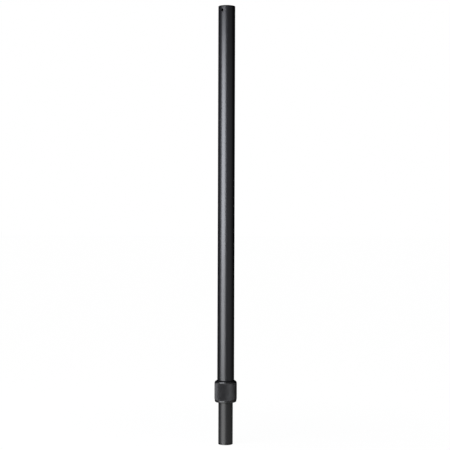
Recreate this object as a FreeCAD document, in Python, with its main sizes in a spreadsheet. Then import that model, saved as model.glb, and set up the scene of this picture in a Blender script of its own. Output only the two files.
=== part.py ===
import FreeCAD, Part
import os
import re

import Sketcher

# Two-section boom pole with a captive twist lock, in millimetres.
#
# The pole stands along +Z with its slim end down, and the origin is the centre of the tip's face, at the
# bottom. A slim inner tube slides inside a stout outer tube. At the outer tube's lower end a threaded
# ferrule is bonded on a land turned true for it. The lock collar screws on the ferrule and draws the nose
# ring, the thrust washer and the split collet up into the ferrule's taper, which closes the collet on the
# inner tube. The collar is drawn tight, and the inner tube is pushed home against the rubber bumper under
# the base plug.
#
# Heights are measured up from the tip's face. A radius is half of the turned diameter at that place.

DIMENSIONS = {
    # Outer tube
    "tube_radius": 17.5,
    "tube_bore": 16.0,
    "tube_foot": 108.3,
    "tube_top": 904.5,
    "tube_edge": 0.3,
    "land_radius": 17.3,
    "land_top": 133.9,
    "rail_width": 4.2,
    "rail_radius": 16.6,
    # Base plug, its cord hole, and what is fixed to it
    "pole_top": 907.0,
    "plug_radius": 15.95,
    "plug_foot": 884.0,
    "plug_rim_round": 1.2,
    "pad_radius": 13.0,
    "pad_seat": 906.0,
    "ring_seat_radius": 14.3,
    "ring_seat_foot": 887.0,
    "ring_seat_top": 889.4,
    "ring_mean_radius": 15.15,
    "ring_section": 0.8,
    "cord_hole_radius": 2.8,
    "cord_hole_height": 897.0,
    "bumper_radius": 13.0,
    "bumper_foot": 876.6,
    # Inner tube
    "mast_radius": 15.0,
    "mast_bore": 13.5,
    "mast_foot": 3.5,
    "mast_top": 871.0,
    "fit_gap": 0.02,
    # Tip plug and its threaded insert
    "tip_round": 1.0,
    "tip_stem_top": 28.0,
    "insert_radius": 6.5,
    "insert_top": 18.0,
    "insert_flange": 8.5,
    "insert_flange_top": 1.2,
    "insert_bore": 4.0,
    "insert_depth": 14.0,
    "insert_mouth": 4.9,
    # Rear guide bush, its keys, the inner tube's end plug and the extension bumper
    "bush_radius": 15.92,
    "bush_foot": 811.0,
    "bush_top": 872.5,
    "snap_height": 857.0,
    "snap_radius": 3.0,
    "key_foot": 822.0,
    "key_top": 836.0,
    "key_width": 4.0,
    "key_radius": 16.45,
    "rear_stem_foot": 849.0,
    "rear_head_top": 876.5,
    "rear_head_radius": 14.6,
    "extension_bumper_foot": 805.0,
    "extension_bumper_radius": 15.85,
    # Front guide bush, held between the ferrule's step and the outer tube's end
    "front_bore": 15.06,
    "front_flange_foot": 107.5,
    "front_top": 167.5,
    # Threaded ferrule
    "ferrule_foot": 100.0,
    "ferrule_top": 121.5,
    "ferrule_neck": 19.0,
    "taper_mouth": 18.3,
    "taper_throat": 16.7,
    "screw_foot": 106.5,
    "screw_top": 119.5,
    "screw_radius": 20.0,
    "screw_root": 19.1,
    "notch_width": 3.4,
    "notch_top": 102.5,
    # Screw thread, shared by the ferrule and the collar: 60 degree flanks
    "pitch": 1.5,
    "groove_floor": 0.2,
    "flank_lean": 0.583,
    "thread_run_in": 1.5,
    "flank_gap": 0.1,
    "nut_bore": 19.25,
    "nut_root": 20.12,
    # Lock collar
    "nut_foot": 108.5,
    "nut_top": 118.5,
    "collar_bore": 20.15,
    "collar_foot": 91.7,
    "collar_top": 132.8,
    "crown_radius": 18.5,
    "rim_top": 130.0,
    "collar_radius": 22.5,
    "collar_round": 0.4,
    "sleeve_seat": 21.4,
    "sleeve_top": 128.0,
    "lip_foot": 122.1,
    "lip_bore": 17.8,
    "dust_seat_foot": 123.9,
    "dust_seat_top": 126.1,
    "dust_seat_radius": 19.35,
    "dust_mean_radius": 18.32,
    "dust_section": 0.98,
    # Rubber grip sleeve
    "sleeve_radius": 23.2,
    "sleeve_foot_radius": 22.6,
    "sleeve_shoulder": 95.2,
    "sleeve_round": 0.4,
    # Nose ring and its wiper
    "nose_foot": 87.4,
    "nose_top": 96.95,
    "nose_radius": 22.3,
    "nose_bore": 15.3,
    "nose_round": 2.4,
    "wiper_seat_foot": 89.0,
    "wiper_seat_top": 92.5,
    "wiper_seat_radius": 17.2,
    "wiper_bore": 15.05,
    "wiper_gap": 0.1,
    # Thrust washer and split collet
    "washer_foot": 97.0,
    "washer_bore": 15.4,
    "collet_foot": 98.0,
    "collet_flange_top": 99.5,
    "collet_flange": 19.0,
    "collet_bore": 15.05,
    "collet_top": 107.1,
    "cone_foot_radius": 18.35,
    "cone_top_radius": 16.73,
    "slot_foot": 100.1,
    "slot_width": 1.2,
    "slot_count": 6,
    "lug_width": 3.0,
    "lug_inner": 17.3,
    "lug_outer": 18.9,
    "lug_height": 2.0,
}
PARTS_FOLDER = "parts"
# Sketcher's numbers for the sketch's own origin and axes
ORIGIN, X_AXIS, Y_AXIS, START, CENTRE = -1, -1, -2, 1, 3

doc = FreeCAD.newDocument("BoomPole")
nodes = []


# ---- the sheet of driving dimensions ----

def fill_sheet():
    """The spreadsheet that every size is bound to."""
    sheet = doc.addObject("Spreadsheet::Sheet", "dims")
    for row, (name, number) in enumerate(DIMENSIONS.items(), start=1):
        sheet.set(f"A{row}", name)
        sheet.set(f"B{row}", str(number))
        sheet.setAlias(f"B{row}", name)
    doc.recompute()
    return sheet


dims = fill_sheet()


def bound(text):
    """A sum of dimension names, as the expression that reads them from the sheet."""
    return re.sub(r"[a-z_]+", lambda word: "dims." + word.group(), text)


def number(text):
    """What a sum of dimension names comes to."""
    return float(dims.evalExpression(bound(text)))


# ---- sketches whose every size is bound to the sheet ----

def plane(body, role):
    """One of a body's own origin planes or axes."""
    return next(item for item in body.Origin.OriginFeatures if item.Role == role)


def new_body(label):
    """A PartDesign body that becomes the node of that name."""
    body = doc.addObject("PartDesign::Body", "".join(word.title() for word in label.split("_")))
    body.Label = label
    nodes.append(body)
    return body


def new_sketch(body, name, role, height=None):
    """A sketch on an origin plane, lifted to a height if one is given."""
    sketch = body.newObject("Sketcher::SketchObject", name)
    sketch.AttachmentSupport = [(plane(body, role), "")]
    sketch.MapMode = "FlatFace"
    if height:
        sketch.setExpression(".AttachmentOffset.Base.z", bound(height))
    return sketch


def pin_down(sketch, item, point, kind, text):
    """Holds one coordinate of a point at a bound distance from the sketch's origin."""
    distance = number(text)
    if abs(distance) < 1e-9:
        axis = Y_AXIS if kind == "DistanceX" else X_AXIS
        sketch.addConstraint(Sketcher.Constraint("PointOnObject", item, point, axis))
        return
    if distance > 0:
        ends, text = (ORIGIN, START, item, point), text
    else:
        ends, text = (item, point, ORIGIN, START), f"0 - ({text})"
    held = sketch.addConstraint(Sketcher.Constraint(kind, *ends, abs(distance)))
    sketch.setExpression(f"Constraints[{held}]", bound(text))


def outline(sketch, corners):
    """A closed outline of straight sides, each corner a pair of sums of dimension names."""
    first = sketch.GeometryCount
    points = [FreeCAD.Vector(number(across), number(up), 0) for across, up in corners]
    for point, following in zip(points, points[1:] + points[:1]):
        sketch.addGeometry(Part.LineSegment(point, following), False)
    for side in range(len(corners)):
        following = first + (side + 1) % len(corners)
        sketch.addConstraint(Sketcher.Constraint("Coincident", first + side, 2, following, 1))
    for side, (across, up) in enumerate(corners, start=first):
        pin_down(sketch, side, START, "DistanceX", across)
        pin_down(sketch, side, START, "DistanceY", up)
    return sketch


def box_outline(sketch, left, right, low, high):
    """A rectangle between two pairs of sums of dimension names."""
    return outline(sketch, [(left, low), (right, low), (right, high), (left, high)])


def round_hole(sketch, across, up, radius):
    """A circle at a bound place, of a bound radius."""
    centre = FreeCAD.Vector(number(across), number(up), 0)
    ring = sketch.addGeometry(Part.Circle(centre, FreeCAD.Vector(0, 0, 1), number(radius)), False)
    pin_down(sketch, ring, CENTRE, "DistanceX", across)
    pin_down(sketch, ring, CENTRE, "DistanceY", up)
    held = sketch.addConstraint(Sketcher.Constraint("Radius", ring, number(radius)))
    sketch.setExpression(f"Constraints[{held}]", bound(radius))
    return sketch


# ---- features ----

def turned(label, corners):
    """A piece turned about the pole's axis from half of its section."""
    body = new_body(label)
    sketch = outline(new_sketch(body, "Section", "XZ_Plane"), corners)
    feature = body.newObject("PartDesign::Revolution", "Turned")
    feature.Profile = sketch
    feature.ReferenceAxis = (sketch, ["V_Axis"])
    feature.Angle = 360
    doc.recompute()
    return body


def cut_across(body, name, sketch):
    """A pocket that runs both ways from its sketch, through everything."""
    before = body.Shape.Volume
    feature = body.newObject("PartDesign::Pocket", name)
    feature.Profile = sketch
    feature.SideType = "Symmetric"
    feature.Type = "ThroughAll"
    doc.recompute()
    if body.Shape.Volume >= before:
        raise RuntimeError(f"{body.Label}: {name} cut nothing")
    return feature


def ring_edges(shape, radius, height):
    """The names of the round edges of that radius at that height."""
    found = []
    for index, edge in enumerate(shape.Edges, start=1):
        curve = edge.Curve
        if not isinstance(curve, Part.Circle):
            continue
        if abs(curve.Radius - radius) < 1e-3 and abs(curve.Center.z - height) < 1e-3:
            found.append(f"Edge{index}")
    if not found:
        raise RuntimeError(f"no round edge of radius {radius} at height {height}")
    return found


def dress(body, kind, size, *places):
    """A fillet or a chamfer on the round edges at the places given, as pairs of radius and height."""
    shape = body.Shape
    names = []
    for radius, height in places:
        names += ring_edges(shape, number(radius), number(height))
    base = body.Tip
    feature = body.newObject(f"PartDesign::{kind}", kind)
    feature.Base = (base, names)
    feature.setExpression("Radius" if kind == "Fillet" else "Size", bound(size))
    doc.recompute()
    return feature


def screw_cut(body, corners, turns_height):
    """A helical groove about the pole's axis, with the pitch that both threads share."""
    sketch = outline(new_sketch(body, "ThreadSection", "XZ_Plane"), corners)
    feature = body.newObject("PartDesign::SubtractiveHelix", "Thread")
    feature.Profile = sketch
    feature.ReferenceAxis = (sketch, ["V_Axis"])
    feature.Mode = "pitch-height-angle"
    feature.setExpression("Pitch", bound("pitch"))
    feature.setExpression("Height", bound(turns_height))
    body.Tip = feature
    doc.recompute()
    return feature


def seal_ring(label, mean_radius, section, height):
    """A round-section rubber ring about the pole's axis."""
    ring = doc.addObject("Part::Torus", "".join(word.title() for word in label.split("_")))
    ring.Label = label
    ring.setExpression("Radius1", bound(mean_radius))
    ring.setExpression("Radius2", bound(section))
    ring.setExpression(".Placement.Base.z", bound(height))
    nodes.append(ring)
    return ring


# ---- the outer tube and what is fixed to it ----

def cord_hole(body):
    """The hole for a cord, which goes right through the tube and its plug."""
    sketch = new_sketch(body, "CordHole", "XZ_Plane")
    round_hole(sketch, "0", "cord_hole_height", "cord_hole_radius")
    cut_across(body, "Drilled", sketch)


def outer_tube():
    """The stout tube: a land turned true at its foot, key rails inside, a cord hole near its top."""
    body = turned("outer_tube", [
        ("tube_bore", "tube_foot"),
        ("land_radius", "tube_foot"),
        ("land_radius", "land_top"),
        ("tube_radius", "land_top"),
        ("tube_radius", "tube_top"),
        ("tube_bore", "tube_top"),
    ])
    rails = new_sketch(body, "Rails", "XY_Plane", "tube_foot")
    box_outline(rails, "0 - rail_radius", "rail_radius", "0 - rail_width / 2", "rail_width / 2")
    cut_across(body, "KeyRails", rails)
    cord_hole(body)
    dress(body, "Chamfer", "tube_edge", ("tube_radius", "tube_top"), ("land_radius", "tube_foot"))


def base_plug():
    """The plug in the stout end: a rim as wide as the tube, a recess for the pad, a ring seat."""
    body = turned("base_plug", [
        ("0", "plug_foot"),
        ("plug_radius", "plug_foot"),
        ("plug_radius", "ring_seat_foot"),
        ("ring_seat_radius", "ring_seat_foot"),
        ("ring_seat_radius", "ring_seat_top"),
        ("plug_radius", "ring_seat_top"),
        ("plug_radius", "tube_top"),
        ("tube_radius", "tube_top"),
        ("tube_radius", "pole_top"),
        ("pad_radius", "pole_top"),
        ("pad_radius", "pad_seat"),
        ("0", "pad_seat"),
    ])
    cord_hole(body)
    dress(body, "Fillet", "plug_rim_round", ("tube_radius", "pole_top"))


def base_pad():
    """The rubber disc let into the base plug, which the pole is set down on."""
    turned("base_pad", [
        ("0", "pad_seat"),
        ("pad_radius - fit_gap", "pad_seat"),
        ("pad_radius - fit_gap", "pole_top"),
        ("0", "pole_top"),
    ])


def retraction_bumper():
    """The rubber disc under the base plug that the inner tube is pushed home against."""
    turned("retraction_bumper", [
        ("0", "bumper_foot"),
        ("bumper_radius", "bumper_foot"),
        ("bumper_radius", "plug_foot"),
        ("0", "plug_foot"),
    ])


def groove_section(mouth, floor, middle, half_floor):
    """A thread groove's section: half_floor wide each way at its floor, and opening towards its mouth."""
    if number(mouth) > number(floor):
        depth = f"({mouth} - ({floor}))"
    else:
        depth = f"({floor} - ({mouth}))"
    half_mouth = f"{half_floor} + {depth} * flank_lean"
    return [
        (mouth, f"{middle} - ({half_mouth})"),
        (floor, f"{middle} - {half_floor}"),
        (floor, f"{middle} + {half_floor}"),
        (mouth, f"{middle} + {half_mouth}"),
    ]


def threaded_ferrule():
    """The ring bonded over the tube's end: a thread outside, a taper in its mouth, two lug notches."""
    body = turned("threaded_ferrule", [
        ("taper_mouth", "ferrule_foot"),
        ("ferrule_neck", "ferrule_foot"),
        ("ferrule_neck", "screw_foot"),
        ("screw_radius", "screw_foot"),
        ("screw_radius", "screw_top"),
        ("ferrule_neck", "screw_top"),
        ("ferrule_neck", "ferrule_top"),
        ("land_radius + fit_gap", "ferrule_top"),
        ("land_radius + fit_gap", "front_flange_foot"),
        ("taper_throat", "front_flange_foot"),
    ])
    notch = new_sketch(body, "LugNotches", "XZ_Plane")
    box_outline(notch, "0 - notch_width / 2", "notch_width / 2", "ferrule_foot - fit_gap", "notch_top")
    cut_across(body, "Notched", notch)
    # The groove starts below the thread and ends above it, so that both of its ends run out freely.
    start = "screw_foot - thread_run_in"
    corners = groove_section("screw_radius + flank_gap", "screw_root", start, "groove_floor / 2")
    screw_cut(body, corners, "screw_top - screw_foot + thread_run_in * 2")


def front_guide_bush():
    """The long bearing in the tube's mouth. The ferrule holds its flange to the tube's end."""
    turned("front_guide_bush", [
        ("front_bore", "front_flange_foot"),
        ("land_radius - fit_gap", "front_flange_foot"),
        ("land_radius - fit_gap", "tube_foot"),
        ("tube_bore - fit_gap", "tube_foot"),
        ("tube_bore - fit_gap", "front_top"),
        ("front_bore", "front_top"),
    ])


# ---- the twist lock ----

def lock_collar():
    """The nut of the twist lock: a sloped crown, the thread below it, a seat for the nose ring."""
    body = turned("lock_collar", [
        ("collar_bore", "collar_foot"),
        ("sleeve_seat", "collar_foot"),
        ("sleeve_seat", "sleeve_top"),
        ("collar_radius", "sleeve_top"),
        ("collar_radius", "rim_top"),
        ("crown_radius", "collar_top"),
        ("lip_bore", "collar_top"),
        ("lip_bore", "dust_seat_top"),
        ("dust_seat_radius", "dust_seat_top"),
        ("dust_seat_radius", "dust_seat_foot"),
        ("lip_bore", "dust_seat_foot"),
        ("lip_bore", "lip_foot"),
        ("collar_bore", "lip_foot"),
        ("collar_bore", "nut_top"),
        ("nut_bore", "nut_top"),
        ("nut_bore", "nut_foot"),
        ("collar_bore", "nut_foot"),
    ])
    dress(body, "Fillet", "collar_round", ("collar_radius", "rim_top"))
    dress(body, "Chamfer", "tube_edge", ("lip_bore", "collar_top"))
    # The groove's middle is half a pitch from the ferrule's, so that the two threads mesh at rest.
    middle = "screw_foot - thread_run_in + pitch * 1.5"
    half_floor = "pitch / 2 - groove_floor / 2 - (nut_root - screw_root) * flank_lean + flank_gap"
    corners = groove_section("nut_bore - flank_gap", "nut_root", middle, f"({half_floor})")
    screw_cut(body, corners, "nut_top - nut_foot + thread_run_in * 2")


def grip_sleeve():
    """The rubber sleeve between the collar's two rims, drawn in towards the nose ring."""
    body = turned("grip_sleeve", [
        ("sleeve_seat + fit_gap", "collar_foot"),
        ("sleeve_foot_radius", "collar_foot"),
        ("sleeve_radius", "sleeve_shoulder"),
        ("sleeve_radius", "sleeve_top"),
        ("sleeve_seat + fit_gap", "sleeve_top"),
    ])
    ends = ("sleeve_radius", "sleeve_top"), ("sleeve_foot_radius", "collar_foot")
    dress(body, "Fillet", "sleeve_round", *ends)


def nose_ring():
    """The ring fixed in the collar's lower end, which pushes the washer and carries the wiper."""
    body = turned("nose_ring", [
        ("nose_bore", "nose_foot"),
        ("nose_radius", "nose_foot"),
        ("nose_radius", "collar_foot"),
        ("collar_bore - fit_gap", "collar_foot"),
        ("collar_bore - fit_gap", "nose_top"),
        ("nose_bore", "nose_top"),
        ("nose_bore", "wiper_seat_top"),
        ("wiper_seat_radius", "wiper_seat_top"),
        ("wiper_seat_radius", "wiper_seat_foot"),
        ("nose_bore", "wiper_seat_foot"),
    ])
    dress(body, "Fillet", "nose_round", ("nose_radius", "nose_foot"))
    dress(body, "Chamfer", "tube_edge", ("nose_bore", "nose_foot"))


def wiper_seal():
    """The felt ring in the nose ring that keeps grit off the collet."""
    turned("wiper_seal", [
        ("wiper_bore", "wiper_seat_foot + wiper_gap"),
        ("wiper_seat_radius - fit_gap", "wiper_seat_foot + wiper_gap"),
        ("wiper_seat_radius - fit_gap", "wiper_seat_top - wiper_gap"),
        ("wiper_bore", "wiper_seat_top - wiper_gap"),
    ])


def thrust_washer():
    """The plain washer that the nose ring turns against."""
    turned("thrust_washer", [
        ("washer_bore", "washer_foot"),
        ("collet_flange", "washer_foot"),
        ("collet_flange", "collet_foot"),
        ("washer_bore", "collet_foot"),
    ])


def collet():
    """The split tapered ring that grips the inner tube, kept from turning by two lugs."""
    body = turned("collet", [
        ("collet_bore", "collet_foot"),
        ("collet_flange", "collet_foot"),
        ("collet_flange", "collet_flange_top"),
        ("cone_foot_radius", "collet_flange_top"),
        ("cone_top_radius", "collet_top"),
        ("collet_bore", "collet_top"),
    ])
    lugs = new_sketch(body, "Lugs", "XY_Plane", "collet_flange_top")
    box_outline(lugs, "0 - lug_width / 2", "lug_width / 2", "lug_inner", "lug_outer")
    box_outline(lugs, "0 - lug_width / 2", "lug_width / 2", "0 - lug_outer", "0 - lug_inner")
    pad = body.newObject("PartDesign::Pad", "LugPads")
    pad.Profile = lugs
    pad.setExpression("Length", bound("lug_height"))
    doc.recompute()
    slot = new_sketch(body, "Slot", "YZ_Plane")
    box_outline(slot, "0 - slot_width / 2", "slot_width / 2", "slot_foot", "collet_top + slot_width")
    pocket = body.newObject("PartDesign::Pocket", "OneSlot")
    pocket.Profile = slot
    pocket.Type = "ThroughAll"
    doc.recompute()
    slots = body.newObject("PartDesign::PolarPattern", "Slots")
    slots.Originals = [pocket]
    slots.Axis = (plane(body, "Z_Axis"), [""])
    slots.Angle = 360
    slots.setExpression("Occurrences", bound("slot_count"))
    body.Tip = slots
    doc.recompute()


# ---- the inner tube and what is fixed to it ----

def inner_tube():
    """The slim tube, with two holes near its upper end that the guide bush snaps into."""
    body = turned("inner_tube", [
        ("mast_bore", "mast_foot"),
        ("mast_radius", "mast_foot"),
        ("mast_radius", "mast_top"),
        ("mast_bore", "mast_top"),
    ])
    hole = round_hole(new_sketch(body, "SnapHoles", "XZ_Plane"), "0", "snap_height", "snap_radius")
    cut_across(body, "Drilled", hole)


def tip_plug():
    """The plug in the slim end, with a rim as wide as the tube and a seat for the threaded insert."""
    body = turned("tip_plug", [
        ("insert_flange + fit_gap", "0"),
        ("mast_radius", "0"),
        ("mast_radius", "mast_foot"),
        ("mast_bore - fit_gap", "mast_foot"),
        ("mast_bore - fit_gap", "tip_stem_top"),
        ("0", "tip_stem_top"),
        ("0", "insert_top"),
        ("insert_radius + fit_gap", "insert_top"),
        ("insert_radius + fit_gap", "insert_flange_top"),
        ("insert_flange + fit_gap", "insert_flange_top"),
    ])
    dress(body, "Fillet", "tip_round", ("mast_radius", "0"))


def thread_insert():
    """The steel insert that a microphone mount screws into. Its bore is the thread's crest diameter."""
    turned("thread_insert", [
        ("insert_mouth", "0"),
        ("insert_flange", "0"),
        ("insert_flange", "insert_flange_top"),
        ("insert_radius", "insert_flange_top"),
        ("insert_radius", "insert_top"),
        ("0", "insert_top"),
        ("0", "insert_depth"),
        ("insert_bore", "insert_depth"),
        ("insert_bore", "insert_mouth - insert_bore"),
    ])


def rear_guide_bush():
    """The long sleeve on the inner tube's upper end, with two snap bosses and two key pockets."""
    body = turned("rear_guide_bush", [
        ("mast_radius + fit_gap", "bush_foot"),
        ("bush_radius", "bush_foot"),
        ("bush_radius", "bush_top"),
        ("mast_bore", "bush_top"),
        ("mast_bore", "mast_top"),
        ("mast_radius + fit_gap", "mast_top"),
    ])
    for side, name in (("", "FrontBoss"), ("0 - ", "BackBoss")):
        sketch = new_sketch(body, name, "XZ_Plane", f"{side}(mast_bore + fit_gap)")
        round_hole(sketch, "0", "snap_height", "snap_radius - fit_gap")
        boss = body.newObject("PartDesign::Pad", name + "Pad")
        boss.Profile = sketch
        boss.setExpression("Length", bound("mast_radius - mast_bore + fit_gap"))
        boss.Reversed = bool(side)
        doc.recompute()
    pockets = new_sketch(body, "KeyPockets", "YZ_Plane")
    box_outline(pockets, "0 - key_width / 2", "key_width / 2", "key_foot", "key_top")
    cut_across(body, "Pocketed", pockets)


def guide_keys():
    """The two keys that run in the outer tube's rails and keep the inner tube from turning."""
    bar = doc.addObject("Part::Box", "KeyBar")
    bar.setExpression("Length", bound("rail_radius * 2"))
    bar.setExpression("Width", bound("key_width - fit_gap * 2"))
    bar.setExpression("Height", bound("key_top - key_foot"))
    bar.setExpression(".Placement.Base.x", bound("0 - rail_radius"))
    bar.setExpression(".Placement.Base.y", bound("fit_gap - key_width / 2"))
    bar.setExpression(".Placement.Base.z", bound("key_foot"))
    ends = []
    for name, radius in (("KeyOutside", "key_radius"), ("KeyInside", "mast_radius + fit_gap")):
        end = doc.addObject("Part::Cylinder", name)
        end.setExpression("Radius", bound(radius))
        end.setExpression("Height", bound("key_top - key_foot"))
        end.setExpression(".Placement.Base.z", bound("key_foot"))
        ends.append(end)
    wall = doc.addObject("Part::Cut", "KeyWall")
    wall.Base, wall.Tool = ends
    keys = doc.addObject("Part::Common", "GuideKeys")
    keys.Base, keys.Tool = bar, wall
    keys.Label = "guide_keys"
    nodes.append(keys)


def extension_bumper():
    """The rubber ring below the rear bush that meets the front bush when the pole is drawn right out."""
    turned("extension_bumper", [
        ("mast_radius + fit_gap", "extension_bumper_foot"),
        ("extension_bumper_radius", "extension_bumper_foot"),
        ("extension_bumper_radius", "bush_foot"),
        ("mast_radius + fit_gap", "bush_foot"),
    ])


def rear_plug():
    """The plug in the inner tube's upper end, whose head stops against the retraction bumper."""
    body = turned("rear_plug", [
        ("0", "rear_stem_foot"),
        ("mast_bore - fit_gap", "rear_stem_foot"),
        ("mast_bore - fit_gap", "bush_top"),
        ("rear_head_radius", "bush_top"),
        ("rear_head_radius", "rear_head_top"),
        ("0", "rear_head_top"),
    ])
    dress(body, "Fillet", "tip_round", ("rear_head_radius", "rear_head_top"))


def write_parts():
    """Stops on any failed feature or shape, then writes each node's STEP file."""
    doc.recompute()
    failed = [item.Label for item in doc.Objects if {"Invalid", "Error"} & set(item.State)]
    if failed:
        raise RuntimeError(f"these failed: {failed}")
    for node in nodes:
        shape = node.Shape
        if shape.isNull() or not shape.isValid() or not shape.Solids:
            raise RuntimeError(f"{node.Label} has no valid solid")
    os.makedirs(PARTS_FOLDER, exist_ok=True)
    for node in nodes:
        node.Shape.exportStep(os.path.join(PARTS_FOLDER, node.Label + ".step"))
        print(f"{node.Label}: {len(node.Shape.Solids)} solid(s), {node.Shape.Volume:.1f} mm3")


outer_tube()
base_plug()
base_pad()
seal_ring("plug_o_ring", "ring_mean_radius", "ring_section", "(ring_seat_foot + ring_seat_top) / 2")
retraction_bumper()
threaded_ferrule()
front_guide_bush()
lock_collar()
grip_sleeve()
nose_ring()
wiper_seal()
seal_ring("dust_seal", "dust_mean_radius", "dust_section", "(dust_seat_foot + dust_seat_top) / 2")
thrust_washer()
collet()
inner_tube()
tip_plug()
thread_insert()
rear_guide_bush()
guide_keys()
extension_bumper()
rear_plug()
write_parts()
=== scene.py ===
"""The looks of the boom pole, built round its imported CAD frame.

Lengths are in metres. Every place comes from the frame's boxes. The pieces that show are rebuilt as
fine meshes: the two tubes, the twist-lock collar with its ribbed rubber, and both end fittings. What
is inside keeps its CAD mesh.
"""

import math

import bmesh
import bpy
from mathutils import Matrix, Quaternion, Vector


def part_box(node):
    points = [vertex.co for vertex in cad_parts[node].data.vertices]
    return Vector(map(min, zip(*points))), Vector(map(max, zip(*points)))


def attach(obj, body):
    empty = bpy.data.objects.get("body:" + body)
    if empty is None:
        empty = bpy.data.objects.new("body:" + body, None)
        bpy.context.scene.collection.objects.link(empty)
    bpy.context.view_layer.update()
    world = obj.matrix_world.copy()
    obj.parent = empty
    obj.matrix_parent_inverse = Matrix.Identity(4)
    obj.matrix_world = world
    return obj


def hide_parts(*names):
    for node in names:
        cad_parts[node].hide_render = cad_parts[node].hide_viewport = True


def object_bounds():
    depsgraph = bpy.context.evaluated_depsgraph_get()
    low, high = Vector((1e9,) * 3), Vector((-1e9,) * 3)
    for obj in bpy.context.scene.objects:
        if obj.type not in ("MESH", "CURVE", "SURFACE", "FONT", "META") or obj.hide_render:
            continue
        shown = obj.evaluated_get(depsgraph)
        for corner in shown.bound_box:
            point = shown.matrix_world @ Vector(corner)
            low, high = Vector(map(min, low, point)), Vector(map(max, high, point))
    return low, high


MM = 0.001
SEGMENTS = 192  # round a turned piece
SHARP_DEGREES = 35  # an edge that turns by more stays sharp
NO_ARC = 1e-6  # radians: a corner that turns by less is straight
NEAR = 1e-9  # metres: radii closer than this are the same
RAIL_EDGE = 3  # columns of a tube's bore from a rail's middle to its edge

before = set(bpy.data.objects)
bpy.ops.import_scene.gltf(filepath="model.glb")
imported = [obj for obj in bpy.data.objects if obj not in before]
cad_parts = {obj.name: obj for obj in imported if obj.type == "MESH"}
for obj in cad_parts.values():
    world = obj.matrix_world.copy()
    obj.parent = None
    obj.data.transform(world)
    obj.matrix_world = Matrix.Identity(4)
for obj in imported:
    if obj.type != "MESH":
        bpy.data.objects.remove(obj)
cad_low, cad_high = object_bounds()


# ---- outlines and turned meshes ----

def spread(node):
    """A node's greatest radius about the pole's axis, its lowest and its highest point."""
    low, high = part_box(node)
    return max(high.x, high.y), low.z, high.z


def rounded(corners, steps=5):
    """A closed outline as points, from corners of (radius, height, rounding).

    Each rounded corner becomes an arc in that many steps.
    """
    points = []
    for index, (r, z, rounding) in enumerate(corners):
        here = Vector((r, z))
        if not rounding:
            points.append(here)
            continue
        before = Vector(corners[index - 1][:2]) - here
        after = Vector(corners[(index + 1) % len(corners)][:2]) - here
        half_turn = before.angle(after) / 2
        back = rounding / math.tan(half_turn)
        inward = (before.normalized() + after.normalized()).normalized()
        centre = here + inward * (rounding / math.sin(half_turn))
        start = here + before.normalized() * back - centre
        end = here + after.normalized() * back - centre
        sweep = start.lerp if start.angle(end) < NO_ARC else start.slerp
        for step in range(steps + 1):
            points.append(centre + sweep(end, step / steps).normalized() * rounding)
    return points


def new_piece(name, mesh, material, body, slot, *nodes):
    """Makes an object of a mesh, that rides on a body and stands for CAD nodes."""
    piece = bpy.data.objects.new(name, mesh)
    bpy.context.scene.collection.objects.link(piece)
    mesh.materials.append(material)
    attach(piece, body)
    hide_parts(*nodes)
    return piece


def finished(bm, name):
    """A mesh of a bmesh, without unused points, and smooth but for its sharp edges."""
    bmesh.ops.delete(bm, geom=[vert for vert in bm.verts if not vert.link_faces], context="VERTS")
    bmesh.ops.remove_doubles(bm, verts=bm.verts, dist=1e-7)
    bmesh.ops.recalc_face_normals(bm, faces=bm.faces)
    mesh = bpy.data.meshes.new(name)
    bm.to_mesh(mesh)
    bm.free()
    mesh.shade_smooth()
    mesh.set_sharp_from_angle(angle=math.radians(SHARP_DEGREES))
    return mesh


def turned(name, outline, segments=SEGMENTS, relief=None):
    """A mesh turned about the pole's axis. relief(angle, r, z) gives a point's radius."""
    bm = bmesh.new()
    rings = []
    for r, z in outline:
        if r < NEAR:
            rings.append([bm.verts.new((0, 0, z))] * segments)
            continue
        ring = []
        for step in range(segments):
            angle = math.tau * step / segments
            radius = relief(angle, r, z) if relief else r
            ring.append(bm.verts.new((radius * math.cos(angle), radius * math.sin(angle), z)))
        rings.append(ring)
    for ring, following in zip(rings, rings[1:] + rings[:1]):
        for step in range(segments):
            ahead = (step + 1) % segments
            corners = dict.fromkeys([ring[step], ring[ahead], following[ahead], following[step]])
            if len(corners) > 2:
                bm.faces.new(corners)
    return finished(bm, name)


# ---- a tube with a hole drilled right through ----

def band(bm, ring, other):
    """A band of faces between two rings of as many points."""
    for index, vert in enumerate(ring):
        ahead = (index + 1) % len(ring)
        bm.faces.new([vert, ring[ahead], other[ahead], other[index]])


def flat_ring(bm, columns, radius, z, rail=None):
    """A level ring of points about the pole's axis.

    rail is for a bore with a groove at each side: its half width, and how far out along X its floor is.
    """
    ring = []
    for column in range(columns):
        turn = math.tau * column / columns
        x = radius * math.cos(turn)
        y = radius * math.sin(turn)
        from_rail = (column + columns // 4) % (columns // 2) - columns // 4
        if rail and abs(from_rail) <= RAIL_EDGE:
            half_width, reach = rail
            on_bore = math.sqrt(radius ** 2 - half_width ** 2)
            x = math.copysign(reach if abs(from_rail) < RAIL_EDGE else on_bore, x)
            y = math.copysign(half_width * min(1, abs(from_rail) / (RAIL_EDGE - 1)), y)
        ring.append(bm.verts.new((x, y, z)))
    return ring


def hole_edge(bm, square, radius, hole_height, reach, facing):
    """Rings from a square gap in a tube's wall in to a round hole. Returns the hole's edge."""
    previous = square
    closed_in = (0.35, 0.65, 0.85, 1.0)
    for share in closed_in:
        ring = []
        for corner in square:
            arc = radius * math.asin(corner.co.x / radius)
            flat = Vector((arc, corner.co.z - hole_height))
            flat = flat.lerp(flat.normalized() * reach, share)
            x = radius * math.sin(flat.x / radius)
            y = facing * math.sqrt(radius ** 2 - x ** 2)
            ring.append(bm.verts.new((x, y, hole_height + flat.y)))
        band(bm, previous, ring)
        previous = ring
    return previous


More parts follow.
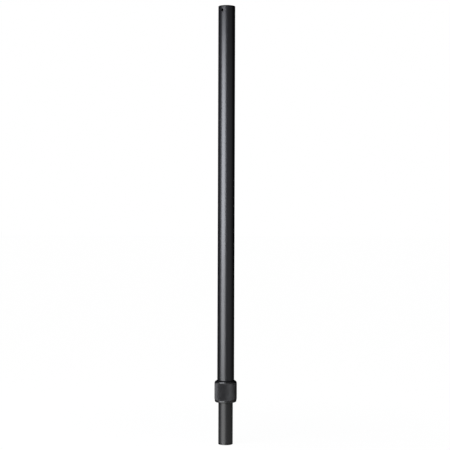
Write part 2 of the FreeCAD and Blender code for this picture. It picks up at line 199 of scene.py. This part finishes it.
def drilled_wall(bm, profile, hole_height, reach, rail=None):
    """One wall of a tube, with a hole towards -Y and one towards +Y.

    The profile's (radius, height) pairs go up from the foot, and the holes are in its last stretch.
    rail is as for flat_ring. Returns the end rings and the holes' edges.
    """
    columns = 132  # round the tube
    side = 12  # columns and rows in the square gap round a hole
    runs = 24  # rows below the gap
    radius, top = profile[-1]
    start = profile[-2][1]
    pitch = math.tau * radius / columns
    patch_foot = hole_height - pitch * side / 2
    heights = [start + (patch_foot - start) * run / runs for run in range(runs)]
    heights += [patch_foot + pitch * step for step in range(side + 1)] + [top]
    grid = [flat_ring(bm, columns, r, z, rail) for r, z in profile[:-2]]
    grid += [flat_ring(bm, columns, radius, z, rail) for z in heights]
    first = len(profile) - 2 + runs
    last = first + side
    gaps = set()
    edges = []
    for quarter, facing in ((1, 1), (3, -1)):
        left = quarter * columns // 4 - side // 2
        right = left + side
        rows = range(first, last)
        gaps |= {(row, column) for row in rows for column in range(left, right)}
        square = grid[first][left:right] + [grid[row][right] for row in rows]
        square += grid[last][right:left:-1] + [grid[row][left] for row in range(last, first, -1)]
        edges.append(hole_edge(bm, square, radius, hole_height, reach, facing))
    for row, (ring, above) in enumerate(zip(grid, grid[1:])):
        for column in range(columns):
            if (row, column) not in gaps:
                ahead = (column + 1) % columns
                bm.faces.new([ring[column], ring[ahead], above[ahead], above[column]])
    return grid[0], grid[-1], edges


def drilled_tube(name, outside, bore, rail, hole_height, hole_radius, edge):
    """A tube with chamfered ends, key rails inside, and a cord hole through both walls.

    outside is its (radius, height) pairs, and rail is as for flat_ring.
    """
    bm = bmesh.new()
    foot, top = outside[0][1], outside[-1][1]
    profile = [(outside[0][0], foot + edge)] + outside[1:-1] + [(outside[-1][0], top - edge)]
    inside = [(bore, foot), (bore, top)]
    mouth = hole_radius + edge / 2
    outer_foot, outer_top, outer_edges = drilled_wall(bm, profile, hole_height, mouth)
    inner_foot, inner_top, inner_edges = drilled_wall(bm, inside, hole_height, hole_radius, rail)
    inward = 1 - edge / 2 / outside[-1][0]
    for outer_edge, inner_edge in zip(outer_edges, inner_edges):
        lip = []
        for vert in outer_edge:
            flat = Vector((vert.co.x, vert.co.z - hole_height)).normalized() * hole_radius
            lip.append(bm.verts.new((flat.x, vert.co.y * inward, hole_height + flat.y)))
        band(bm, outer_edge, lip)
        band(bm, lip, inner_edge)
    ends = ((outer_foot, inner_foot, outside[0]), (outer_top, inner_top, outside[-1]))
    for ring, inner, (radius, z) in ends:
        rim = flat_ring(bm, len(ring), radius - edge, z)
        band(bm, ring, rim)
        band(bm, rim, inner)
    return finished(bm, name)


# ---- materials ----

class Finish:
    """A procedural material: a Principled shader and its nodes, added and linked by short calls."""

    def __init__(self, name, **values):
        self.material = bpy.data.materials.new(name)
        self.material.use_nodes = True
        self.tree = self.material.node_tree
        self.shader = next(node for node in self.tree.nodes if node.type == "BSDF_PRINCIPLED")
        for socket, value in values.items():
            self.shader.inputs[socket.replace("_", " ")].default_value = value
        self.place = self.node("ShaderNodeTexCoord").outputs["Object"]
        self.normal = None

    def node(self, kind, **values):
        """A new node, with its properties set."""
        made = self.tree.nodes.new(kind)
        for name, value in values.items():
            setattr(made, name, value)
        return made

    def link(self, source, target):
        """Feeds a socket from another."""
        self.tree.links.new(source, target)

    def stretched(self, scale):
        """The surface's place, scaled along each axis."""
        mapping = self.node("ShaderNodeMapping")
        mapping.inputs["Scale"].default_value = scale
        self.link(self.place, mapping.inputs["Vector"])
        return mapping.outputs["Vector"]

    def noise(self, scale, detail, roughness, stretch=(1, 1, 1)):
        """Grain of about 1 / scale metres."""
        made = self.node("ShaderNodeTexNoise")
        made.inputs["Scale"].default_value = scale
        made.inputs["Detail"].default_value = detail
        made.inputs["Roughness"].default_value = roughness
        self.link(self.stretched(stretch), made.inputs["Vector"])
        return made.outputs["Fac"]

    def ramp(self, source, *stops):
        """The source turned into colours or greys, by stops of (position, colour or grey)."""
        made = self.node("ShaderNodeValToRGB")
        band = made.color_ramp
        while len(band.elements) < len(stops):
            band.elements.new(0.5)
        for element, (position, colour) in zip(band.elements, stops):
            element.position = position
            element.color = (*colour, 1) if isinstance(colour, tuple) else (colour,) * 3 + (1,)
        self.link(source, made.inputs["Fac"])
        return made.outputs["Color"]

    def math(self, operation, first, second):
        """A sum or product of sources and numbers."""
        made = self.node("ShaderNodeMath", operation=operation)
        for socket, value in zip(made.inputs, (first, second)):
            if isinstance(value, (int, float)):
                socket.default_value = value
            else:
                self.link(value, socket)
        return made.outputs[0]

    def mix(self, factor, first, second):
        """A mix of two colours by a factor. A colour is a source or a tuple."""
        made = self.node("ShaderNodeMix", data_type="RGBA")
        for name, value in (("Factor", factor), ("A", first), ("B", second)):
            socket = next(s for s in made.inputs if s.name == name and s.enabled)
            if isinstance(value, tuple):
                socket.default_value = (*value, 1)
            else:
                self.link(value, socket)
        return next(s for s in made.outputs if s.enabled)

    def colour(self, source):
        """Colours the surface by the source."""
        self.link(source, self.shader.inputs["Base Color"])

    def roughness(self, source, low, high):
        """Roughness that follows the source between two values."""
        made = self.node("ShaderNodeMapRange")
        made.inputs["To Min"].default_value = low
        made.inputs["To Max"].default_value = high
        self.link(source, made.inputs["Value"])
        self.link(made.outputs["Result"], self.shader.inputs["Roughness"])

    def bump(self, source, height, strength):
        """Raises the surface by the source times a height in metres. Calls add up."""
        made = self.node("ShaderNodeBump")
        made.inputs["Strength"].default_value = strength
        made.inputs["Distance"].default_value = height
        self.link(source, made.inputs["Height"])
        if self.normal:
            self.link(self.normal, made.inputs["Normal"])
        self.normal = made.outputs["Normal"]
        self.link(self.normal, self.shader.inputs["Normal"])


def anodised_tube(name, low, high, scuffed):
    """Drawn tube, blasted and dyed black: fine grain, drawing lines, and scuffs where it slides."""
    drawing_grey = (0.014, 0.0145, 0.0155)
    scuff_grey = (0.055, 0.056, 0.058)
    finish = Finish(name, Roughness=0.34, IOR=1.62)
    drawn = finish.noise(900, 4, 0.6, (1, 1, 0.012))
    cloud = finish.noise(14, 4, 0.6, (1, 1, 0.25))
    grain = finish.noise(5200, 2, 0.5)
    base = finish.ramp(cloud, (0.3, low), (0.7, high))
    streak = finish.ramp(drawn, (0.35, 0.0), (0.75, 0.35))
    tone = finish.mix(streak, base, drawing_grey)
    if scuffed:
        lines = finish.noise(1500, 5, 0.65, (1, 1, 0.006))
        patches = finish.ramp(finish.noise(30, 3, 0.6, (1, 1, 0.15)), (0.45, 0.0), (0.62, 1.0))
        lines = finish.ramp(lines, (0.66, 0.0), (0.74, 1.0))
        scuff = finish.math("MULTIPLY", lines, patches)
        tone = finish.mix(scuff, tone, scuff_grey)
    finish.colour(tone)
    fine = finish.math("MULTIPLY", grain, 0.6)
    coarse = finish.math("MULTIPLY", drawn, 0.4)
    finish.roughness(finish.math("ADD", fine, coarse), 0.29, 0.38)
    finish.bump(drawn, 0.004 * MM, 0.6)
    finish.bump(grain, 0.006 * MM, 0.7)
    return finish.material


def anodised_fitting(name):
    """Turned fitting, dyed black and glossier than the tube, with fine rings from the tool."""
    finish = Finish(name, Roughness=0.3, IOR=1.8)
    rings = finish.noise(5, 4, 0.7, (1, 1, 900))
    cloud = finish.noise(60, 4, 0.6)
    finish.colour(finish.ramp(cloud, (0.3, (0.004, 0.004, 0.0045)), (0.7, (0.007, 0.007, 0.0075))))
    fine = finish.math("MULTIPLY", rings, 0.5)
    coarse = finish.math("MULTIPLY", cloud, 0.5)
    finish.roughness(finish.math("ADD", fine, coarse), 0.22, 0.32)
    finish.bump(rings, 0.002 * MM, 0.6)
    return finish.material


def rubber(name, low, high, rough, dusty):
    """Moulded rubber: matt, finely pitted, and a little dusty."""
    dust_grey = (0.085, 0.083, 0.080)
    uneven = 0.06
    finish = Finish(name, Roughness=0.8, IOR=1.5)
    pits = finish.noise(2600, 3, 0.6)
    cloud = finish.noise(90, 5, 0.65)
    base = finish.ramp(cloud, (0.3, low), (0.72, high))
    dust = finish.ramp(finish.noise(700, 4, 0.7), (0.52, 0.0), (0.8, dusty))
    finish.colour(finish.mix(dust, base, dust_grey))
    finish.roughness(pits, rough - uneven, rough + uneven)
    finish.bump(pits, 0.02 * MM, 0.7)
    return finish.material


def moulded(name, low, high, rough):
    """Moulded or turned plastic with a faint grain."""
    finish = Finish(name, Roughness=rough, IOR=1.48)
    cloud = finish.noise(120, 4, 0.6)
    grain = finish.noise(3500, 2, 0.5)
    finish.colour(finish.ramp(cloud, (0.3, low), (0.7, high)))
    finish.roughness(grain, rough - 0.06, rough + 0.08)
    finish.bump(grain, 0.006 * MM, 0.7)
    return finish.material


def turned_metal(name, low, high, rough):
    """Bare turned metal: fine rings from the tool in its colour, gloss and surface."""
    finish = Finish(name, Metallic=1.0, Roughness=rough)
    rings = finish.noise(6, 5, 0.7, (1, 1, 1100))
    finish.colour(finish.ramp(rings, (0.3, low), (0.7, high)))
    finish.roughness(rings, rough - 0.08, rough + 0.12)
    finish.bump(rings, 0.004 * MM, 0.8)
    return finish.material


def felt(name):
    """Dense grey felt."""
    finish = Finish(name, Roughness=0.95)
    fibres = finish.noise(1800, 6, 0.75)
    finish.colour(finish.ramp(fibres, (0.3, (0.07, 0.07, 0.072)), (0.7, (0.16, 0.16, 0.165))))
    finish.bump(fibres, 0.12 * MM, 0.9)
    return finish.material


STOUT_FINISH = anodised_tube(
    "black_anodised_stout_tube", low=(0.003, 0.003, 0.0038), high=(0.006, 0.006, 0.0075), scuffed=False)
# The slim tube is the same anodised tube, but its base tone is painted lighter than the stout tube's:
# painted bounce light from the floor. Its scuffs are real wear.
SLIM_BOUNCE_LIT_FINISH = anodised_tube(
    "black_anodised_slim_tube", low=(0.007, 0.007, 0.0074), high=(0.011, 0.011, 0.0115), scuffed=True)
FITTING_FINISH = anodised_fitting("black_anodised_fitting")
GRIP_FINISH = rubber(
    "grip_rubber", low=(0.0165, 0.0162, 0.0168), high=(0.0245, 0.0242, 0.0250), rough=0.52, dusty=0.16)
PAD_FINISH = rubber(
    "pad_rubber", low=(0.014, 0.014, 0.014), high=(0.022, 0.022, 0.022), rough=0.7, dusty=0.3)
SEAL_FINISH = moulded(
    "seal_rubber", low=(0.012, 0.012, 0.012), high=(0.018, 0.018, 0.018), rough=0.5)
PLUG_FINISH = moulded(
    "black_plug_plastic", low=(0.003, 0.003, 0.003), high=(0.006, 0.006, 0.006), rough=0.38)
BUSH_FINISH = moulded(
    "black_acetal", low=(0.018, 0.018, 0.019), high=(0.026, 0.026, 0.027), rough=0.38)
COLLET_FINISH = moulded(
    "natural_acetal", low=(0.72, 0.70, 0.64), high=(0.80, 0.78, 0.73), rough=0.35)
INSERT_FINISH = turned_metal(
    "turned_steel", low=(0.46, 0.46, 0.47), high=(0.60, 0.60, 0.61), rough=0.28)
FERRULE_FINISH = turned_metal(
    "turned_aluminium", low=(0.50, 0.51, 0.52), high=(0.66, 0.67, 0.68), rough=0.34)
FELT_FINISH = felt("grey_felt")


# ---- the pieces that show ----

CORD_DROP = 7.5 * MM  # the cord hole's middle, below the stout tube's upper end
CORD_RADIUS = 2.8 * MM  # of the cord hole


def stout_tube():
    """The outer tube: drilled for its cord, turned down at its foot, with key rails inside."""
    radius, foot, top = spread("outer_tube")
    land = 17.3 * MM
    land_top = foot + 25.6 * MM
    bore = 16.0 * MM
    rail = (2.1 * MM, 16.6 * MM)  # half width and reach
    edge = 0.3 * MM
    outside = [(land, foot), (land, land_top), (radius, land_top), (radius, top)]
    mesh = drilled_tube("stout_tube", outside, bore, rail, top - CORD_DROP, CORD_RADIUS, edge)
    new_piece("stout_tube", mesh, STOUT_FINISH, "outer_section", "tube_anodised", "outer_tube")


def slim_tube():
    """The inner tube."""
    radius, foot, top = spread("inner_tube")
    wall = 1.5 * MM
    edge = 0.25 * MM
    bore = radius - wall
    corners = [(bore, foot, 0), (radius, foot, edge), (radius, top, edge), (bore, top, 0)]
    mesh = turned("slim_tube", rounded(corners))
    new_piece("slim_tube", mesh, SLIM_BOUNCE_LIT_FINISH, "inner_section", "tube_anodised", "inner_tube")


def collar_shell():
    """The lock collar: above the rubber shows its rim, and a crown that slopes up to the tube."""
    radius, foot, top = spread("lock_collar")
    seat = 21.4 * MM
    rim_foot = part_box("grip_sleeve")[1].z
    rim_top = rim_foot + 2.0 * MM
    crown = 18.5 * MM
    bore = 20.15 * MM
    lip_bore = 17.8 * MM
    lip_foot = foot + 30.4 * MM
    corners = [
        (bore, foot, 0), (seat, foot, 0), (seat, rim_foot, 0), (radius, rim_foot, 0.3 * MM),
        (radius, rim_top, 1.8 * MM), (crown, top, 0.25 * MM), (lip_bore, top, 0.25 * MM),
        (lip_bore, lip_foot, 0.2 * MM), (bore, lip_foot, 0),
    ]
    mesh = turned("collar_shell", rounded(corners, 7))
    new_piece("collar_shell", mesh, FITTING_FINISH, "collar", "fitting_anodised", "lock_collar")


def rubber_grip():
    """The rubber sleeve: fine upright ribs between two plain lips, drawn in towards the nose."""
    radius, foot, top = spread("grip_sleeve")
    seat = 21.42 * MM
    shoulder = foot + 3.5 * MM
    draw_in = 0.6 * MM
    outside = radius - draw_in - 0.6 * MM  # what lies further in is the seat and its edges
    ribs = 120
    depth = 0.57 * MM
    plain = 0.5 * MM
    longest = 1.2 * MM
    corners = [
        (seat, foot, 0), (radius - draw_in, foot, 0.5 * MM), (radius, shoulder, 4 * MM),
        (radius, top, 0.5 * MM), (seat, top, 0),
    ]
    outline = rounded(corners, 6)
    dense = []
    for point, following in zip(outline, outline[1:] + outline[:1]):
        steps = max(1, round((following - point).length / longest))
        if min(point.x, following.x) < outside:
            steps = 1
        dense += [point.lerp(following, step / steps) for step in range(steps)]

    def ribbed(angle, r, z):
        """The radius with the grooves between the ribs cut in, fading out at both lips."""
        if r < outside:
            return r
        inside = min(z - foot, top - z) / plain
        fade = min(1, max(0, inside - 0.5))
        fade = fade * fade * (3 - 2 * fade)
        wave = abs((ribs * angle / math.tau) % 1 - 0.5) * 2
        return r - depth * fade * wave

    mesh = turned("rubber_grip", dense, segments=ribs * 4, relief=ribbed)
    new_piece("rubber_grip", mesh, GRIP_FINISH, "collar", "grip_rubber", "grip_sleeve")


def nose():
    """The ring below the rubber."""
    radius, foot, top = spread("nose_ring")
    flange_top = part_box("grip_sleeve")[0].z
    bore = 15.3 * MM
    stem = 20.13 * MM
    corners = [
        (bore, foot, 0.4 * MM), (radius, foot, 2.4 * MM), (radius, flange_top, 0.25 * MM),
        (stem, flange_top, 0), (stem, top, 0), (bore, top, 0),
    ]
    mesh = turned("nose", rounded(corners, 7))
    new_piece("nose", mesh, FITTING_FINISH, "collar", "fitting_anodised", "nose_ring")


def base_cap():
    """The plug in the stout end, drilled with the tube, with a recess for the foot pad."""
    radius, foot, top = spread("base_plug")
    tube_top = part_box("outer_tube")[1].z
    stem = 15.95 * MM
    pad_radius, pad_foot, _ = spread("base_pad")
    recess = pad_radius + 0.02 * MM
    corners = [
        (0, foot, 0), (stem, foot, 0.5 * MM), (stem, tube_top, 0), (radius, tube_top, 0.2 * MM),
        (radius, top, 1.2 * MM), (recess, top, 0.25 * MM), (recess, pad_foot, 0), (0, pad_foot, 0),
    ]
    mesh = turned("base_cap", rounded(corners, 7))
    cap = new_piece("base_cap", mesh, PLUG_FINISH, "outer_section", "plug_plastic", "base_plug")
    drill(cap, tube_top - CORD_DROP, CORD_RADIUS)


def drill(piece, height, radius):
    """Cuts a round hole through a piece along Y."""
    length = 60 * MM
    bm = bmesh.new()
    bmesh.ops.create_cone(
        bm, cap_ends=True, segments=64, radius1=radius, radius2=radius, depth=length)
    bmesh.ops.rotate(bm, verts=bm.verts, matrix=Matrix.Rotation(math.pi / 2, 3, "X"))
    bmesh.ops.translate(bm, verts=bm.verts, vec=(0, 0, height))
    cutter = bpy.data.objects.new("cutter", bpy.data.meshes.new("cutter"))
    bm.to_mesh(cutter.data)
    bm.free()
    bpy.context.scene.collection.objects.link(cutter)
    cut = piece.modifiers.new("drilled", "BOOLEAN")
    cut.object = cutter
    cut.solver = "EXACT"
    bpy.context.view_layer.update()
    evaluated = piece.evaluated_get(bpy.context.evaluated_depsgraph_get())
    drilled = bpy.data.meshes.new_from_object(evaluated)
    piece.modifiers.clear()
    piece.data = drilled
    bpy.data.objects.remove(cutter)


def foot_pad():
    """The rubber disc in the base cap's face, with fine rings moulded in it."""
    radius, foot, top = spread("base_pad")
    rings = 5
    rim = 1.2 * MM
    centre = 2 * MM
    depth = 0.45 * MM
    width = 1.0 * MM
    slope = 0.2 * MM
    edge = 0.2 * MM
    lip = 0.12 * MM
    fillet = 0.1 * MM
    step = (radius - centre) / rings
    corners = [(0, foot, 0), (radius, foot, 0), (radius, top, edge)]
    for index in range(rings):
        out = radius - rim - index * step
        corners += [
            (out, top, lip), (out - slope, top - depth, fillet),
            (out - width + slope, top - depth, fillet), (out - width, top, lip),
        ]
    corners.append((0, top, 0))
    mesh = turned("foot_pad", rounded(corners, 3))
    new_piece("foot_pad", mesh, PAD_FINISH, "outer_section", "pad_rubber", "base_pad")


def tip_cap():
    """The plug in the slim end: its rounded rim ends the tube, and it holds the threaded insert."""
    radius, foot, top = spread("tip_plug")
    tube_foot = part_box("inner_tube")[0].z
    insert_radius, _, insert_top = spread("thread_insert")
    seat = insert_radius + 0.02 * MM
    flange = 1.2 * MM
    stem = 13.48 * MM
    insert_stem = 6.52 * MM
    corners = [
        (seat, foot, 0.25 * MM), (radius, foot, 1.0 * MM), (radius, tube_foot, 0.25 * MM),
        (stem, tube_foot, 0), (stem, top, 0.4 * MM), (0, top, 0), (0, insert_top, 0),
        (insert_stem, insert_top, 0), (insert_stem, foot + flange, 0), (seat, foot + flange, 0),
    ]
    mesh = turned("tip_cap", rounded(corners, 6))
    new_piece("tip_cap", mesh, FITTING_FINISH, "inner_section", "fitting_anodised", "tip_plug")


def tip_thread():
    """The steel insert in the tip, with its real screw thread."""
    radius, foot, top = spread("thread_insert")
    crest, root = 4.0 * MM, 4.7 * MM
    pitch = 25.4 * MM / 16
    depth = 14.0 * MM
    flange, stem = 1.2 * MM, 6.5 * MM
    mouth = foot + 0.9 * MM
    mouth_radius = root + 0.2 * MM
    steps_per_turn = 12
    crest_share, flank_share = 0.2, 0.65  # of half a pitch
    fade_in, fade_out = 0.4 * pitch, 0.8 * pitch
    corners = [
        (radius, foot, 0.2 * MM), (radius, foot + flange, 0),
        (stem, foot + flange, 0), (stem, top, 0),
    ]
    outline = rounded(corners, 4)
    outline += [Vector((0, top)), Vector((0, foot + depth)), Vector((root, foot + depth))]
    run = foot + depth - mouth
    steps = round(run / pitch * steps_per_turn)
    outline += [Vector((crest, foot + depth - run * step / steps)) for step in range(steps + 1)]
    outline += [Vector((mouth_radius, foot))]

    def threaded(angle, r, z):
        """The radius at that angle and height: a V groove with a flat root, between flat crests."""
        if abs(r - crest) > NEAR:
            return r
        phase = (z / pitch - angle / math.tau) % 1
        from_crest = abs(phase - 0.5) * 2
        cut = min(1, max(0, (from_crest - crest_share) / flank_share))
        fade = min(1, (z - mouth) / fade_in, (foot + depth - z) / fade_out)
        return crest + (root - crest) * cut * max(0, fade)

    mesh = turned("tip_insert", outline, segments=96, relief=threaded)
    new_piece("tip_insert", mesh, INSERT_FINISH, "inner_section", "insert_steel", "thread_insert")


stout_tube()
slim_tube()
collar_shell()
rubber_grip()
nose()
base_cap()
foot_pad()
tip_cap()
tip_thread()

INSIDE = {
    "threaded_ferrule": FERRULE_FINISH,
    "front_guide_bush": BUSH_FINISH,
    "rear_guide_bush": BUSH_FINISH,
    "guide_keys": BUSH_FINISH,
    "rear_plug": PLUG_FINISH,
    "collet": COLLET_FINISH,
    "thrust_washer": COLLET_FINISH,
    "wiper_seal": FELT_FINISH,
    "dust_seal": SEAL_FINISH,
    "plug_o_ring": SEAL_FINISH,
    "retraction_bumper": PAD_FINISH,
    "extension_bumper": PAD_FINISH,
}
for node, finish in INSIDE.items():
    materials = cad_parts[node].data.materials
    for index in range(len(materials)):
        materials[index] = finish


# ---- floor, light and camera ----

def studio_floor():
    """A wide white floor under the tip, which goes down with it when the pole is drawn out.

    It glows evenly and takes no shadow, a little dimmer round the pole's foot.
    """
    floor_radius = 40
    bm = bmesh.new()
    bmesh.ops.create_circle(bm, cap_ends=True, segments=96, radius=floor_radius)
    mesh = bpy.data.meshes.new("studio_floor")
    bm.to_mesh(mesh)
    bm.free()
    floor = bpy.data.objects.new("studio_floor", mesh)
    floor.location.z = cad_low.z
    bpy.context.scene.collection.objects.link(floor)
    finish = Finish("studio_white", Roughness=0.9)
    finish.shader.inputs["Base Color"].default_value = (0.04, 0.04, 0.04, 1)
    finish.shader.inputs["Specular IOR Level"].default_value = 0.0
    finish.shader.inputs["Emission Color"].default_value = (1, 1, 1, 1)
    away = finish.node("ShaderNodeVectorMath", operation="LENGTH")
    finish.link(finish.place, away.inputs[0])
    glow = finish.node("ShaderNodeMapRange", interpolation_type="SMOOTHSTEP")
    grade = {"From Min": 0.1, "From Max": 0.9, "To Min": 0.975, "To Max": 0.995}
    for socket, value in grade.items():
        glow.inputs[socket].default_value = value
    finish.link(away.outputs["Value"], glow.inputs["Value"])
    finish.link(glow.outputs["Result"], finish.shader.inputs["Emission Strength"])
    mesh.materials.append(finish.material)
    floor.visible_glossy = False
    floor.visible_diffuse = False
    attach(floor, "inner_section")


CAMERA_AZIMUTH = 32.4  # degrees round from -Y, towards +X
CAMERA_DISTANCE = 2.63
CAMERA_HEIGHT = 0.46
CAMERA_LENS = 101.55  # mm, on a 36 mm sensor


def around(azimuth, distance, height):
    """A place round the pole: azimuth in degrees from the camera, positive to the camera's right."""
    angle = math.radians(CAMERA_AZIMUTH + azimuth)
    return Vector((math.sin(angle) * distance, -math.cos(angle) * distance, height))


def studio_world():
    """White behind the pole. What the pole reflects is dim.

    The air is grey in front of the pole and near black behind it, and the floor below is paler,
    most of all where the key light would fall on it.
    """
    world = bpy.data.worlds.new("studio")
    bpy.context.scene.world = world
    world.use_nodes = True
    tree = world.node_tree
    tree.nodes.clear()

    def node(kind, **values):
        """A new node, with its properties set."""
        made = tree.nodes.new(kind)
        for name, value in values.items():
            setattr(made, name, value)
        return made

    def graded(source, start, end, low, high):
        """The source's start to end turned smoothly into low to high."""
        grade = node("ShaderNodeMapRange", interpolation_type="SMOOTHSTEP")
        values = {"From Min": start, "From Max": end, "To Min": low, "To Max": high}
        for socket, value in values.items():
            grade.inputs[socket].default_value = value
        tree.links.new(source, grade.inputs["Value"])
        return grade.outputs["Result"]

    def towards(place):
        """How nearly a direction is that of a place."""
        facing = node("ShaderNodeVectorMath", operation="DOT_PRODUCT")
        tree.links.new(direction, facing.inputs[0])
        facing.inputs[1].default_value = place.normalized()
        return facing.outputs["Value"]

    def combined(operation, first, second):
        """The sum or product of two sources."""
        made = node("ShaderNodeMath", operation=operation)
        tree.links.new(first, made.inputs[0])
        tree.links.new(second, made.inputs[1])
        return made.outputs[0]

    direction = node("ShaderNodeTexCoord").outputs["Generated"]
    air = graded(towards(around(0, 0.94, -0.34)), -0.5, 0.5, 0.004, 0.052)
    down = towards(Vector((0, 0, -1)))
    lit = graded(towards(around(-40, 1, -0.2)), 0.66, 0.98, 0.0, 2.5)
    sheen = combined("MULTIPLY", graded(down, 0.09, 0.2, 0.0, 1.0), lit)
    near_edge = graded(down, 0.19, 0.38, 0.0, 0.6)
    far_edge = graded(down, 0.42, 0.75, 1.0, 0.2)
    floor = combined("MULTIPLY", near_edge, far_edge)
    total = combined("ADD", air, combined("ADD", sheen, floor))
    reflected = node("ShaderNodeBackground")
    tree.links.new(total, reflected.inputs["Strength"])
    reflected.inputs["Color"].default_value = (1, 1, 1, 1)
    seen = node("ShaderNodeBackground")
    seen.inputs["Color"].default_value = (1, 1, 1, 1)
    seen.inputs["Strength"].default_value = 1.0
    mix = node("ShaderNodeMixShader")
    tree.links.new(node("ShaderNodeLightPath").outputs["Is Camera Ray"], mix.inputs["Fac"])
    tree.links.new(reflected.outputs[0], mix.inputs[1])
    tree.links.new(seen.outputs[0], mix.inputs[2])
    tree.links.new(mix.outputs[0], node("ShaderNodeOutputWorld").inputs["Surface"])


def softbox(name, azimuth, distance, height, width, tall, power, tint):
    """A rectangular lamp that faces the pole. Its power is in watts."""
    lamp = bpy.data.lights.new(name, "AREA")
    lamp.shape = "RECTANGLE"
    lamp.size = width
    lamp.size_y = tall
    lamp.energy = power
    lamp.color = tint
    box = bpy.data.objects.new(name, lamp)
    bpy.context.scene.collection.objects.link(box)
    box.location = around(azimuth, distance, height)
    aim = Vector((0, 0, height)) - box.location
    box.rotation_euler = aim.to_track_quat("-Z", "Y").to_euler()
    box.visible_camera = False


def studio_camera():
    """A long lens, level with the pole's middle and turned a hair down, aside and askew."""
    pitch, yaw, roll = 0.13, 0.052, 0.178  # degrees
    lens = bpy.data.cameras.new("camera")
    lens.lens = CAMERA_LENS
    lens.sensor_width = 36
    lens.clip_start, lens.clip_end = 0.05, 100
    camera = bpy.data.objects.new("camera", lens)
    bpy.context.scene.collection.objects.link(camera)
    camera.location = around(0, CAMERA_DISTANCE, CAMERA_HEIGHT)
    ahead = around(180 + yaw, 1, -math.tan(math.radians(pitch))).to_track_quat("-Z", "Y")
    camera.rotation_mode = "QUATERNION"
    camera.rotation_quaternion = ahead @ Quaternion((0, 0, 1), math.radians(roll))
    bpy.context.scene.camera = camera


studio_floor()
studio_world()
softbox("key", azimuth=-39.5, distance=0.80, height=0.65, width=0.77, tall=0.60, power=13.1,
        tint=(0.90, 0.925, 1.0))
softbox("low_key", azimuth=-40, distance=1.3, height=0.15, width=1.3, tall=0.20, power=7.8,
        tint=(0.93, 0.95, 1.0))
softbox("fill", azimuth=48, distance=1.6, height=0.5, width=1.9, tall=1.2, power=1.9,
        tint=(0.95, 0.96, 1.0))
studio_camera()
bpy.context.scene.view_settings.view_transform = "Standard"
